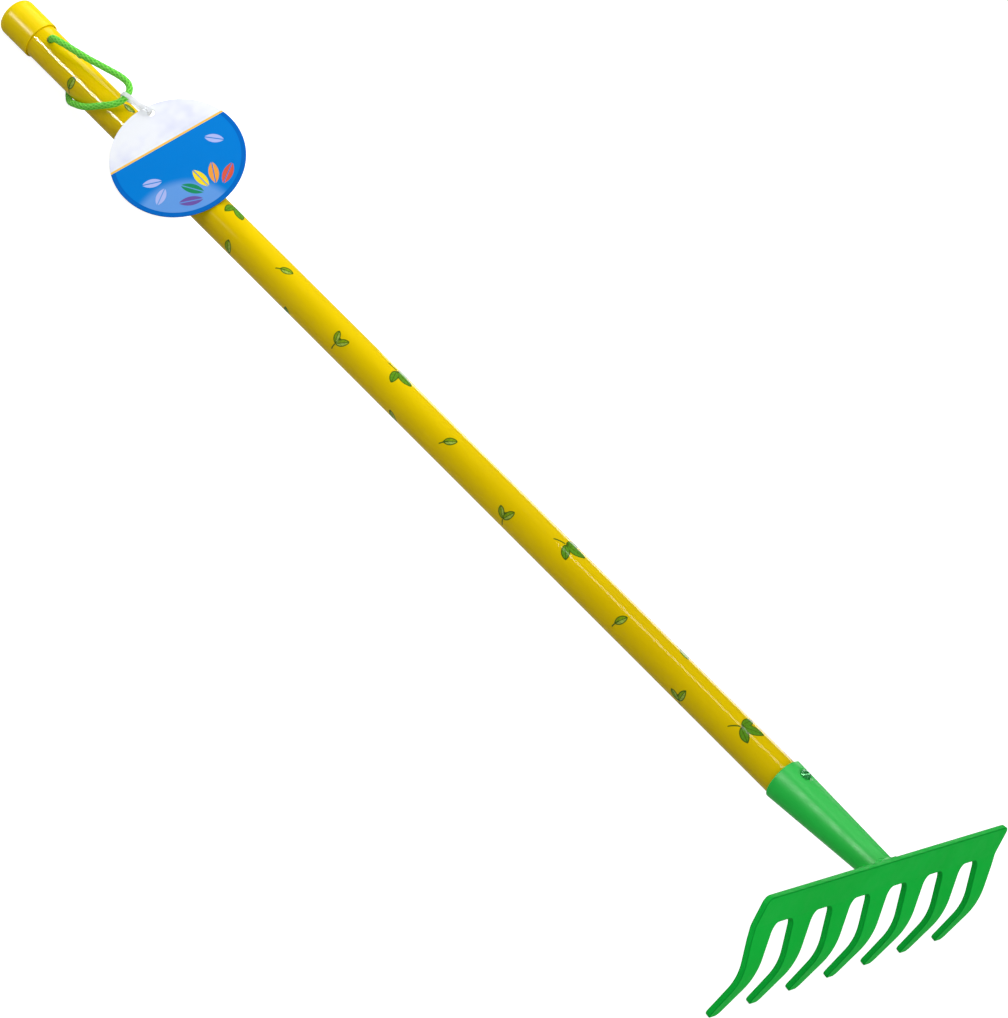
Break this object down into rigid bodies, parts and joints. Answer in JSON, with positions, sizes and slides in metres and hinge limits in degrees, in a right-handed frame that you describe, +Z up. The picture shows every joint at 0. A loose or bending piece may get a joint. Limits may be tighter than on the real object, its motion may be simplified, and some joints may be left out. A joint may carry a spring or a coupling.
{
  "type": "sand rake",
  "caption": "Child's sand rake: bent sheet steel head with tapered tines and a rolled socket on a film covered wooden handle, with end cap, hang cord and swinging round tag.",
  "frame": {"origin": "on the floor under the middle of the part's box, with the rake lying tines down on its tips and its end cap", "axes": "+Z up, +Y along the handle towards the end cap, +X across the head"},
  "size_m": [0.273, 0.7636, 0.0762],
  "materials": {
    "handle_dowel": "plain turned wood",
    "handle_film": "glossy yellow shrink film with a printed leaf design",
    "end_cap": "glossy yellow moulded plastic",
    "socket": "satin green powder coat on rolled sheet steel",
    "weld_bead": "satin green powder coat over a weld",
    "rake_plate": "satin green powder coat on sheet steel",
    "socket_screw": "glossy dark green coated steel",
    "cord_loop": "bright green braided cord",
    "tag_strap": "clear soft plastic strip",
    "tag_disc": "coated card in white and blue"
  },
  "bodies": {
    "rake": {"handle_dowel": "handle_dowel", "handle_film": "handle_film", "end_cap": "end_cap", "socket": "socket", "weld_bead": "weld_bead", "rake_plate": "rake_plate", "socket_screw": "socket_screw", "cord_loop": "cord_loop"},
    "strap": {"tag_strap": "tag_strap"},
    "tag": {"tag_disc": "tag_disc"}
  },
  "joints": [
    {"name": "strap_swing", "type": "hinge", "parent": "rake", "child": "strap", "pos_m": [-0.00683, 0.2832, 0.03497], "axis": [-0.6265, -0.333, -0.7047], "range_deg": [0, 80]},
    {"name": "tag_turn", "type": "hinge", "parent": "strap", "child": "tag", "pos_m": [-0.00027, 0.26677, 0.0369], "axis": [-0.7385, 0.0465, 0.6727], "range_deg": [-5, 35]}
  ]
}
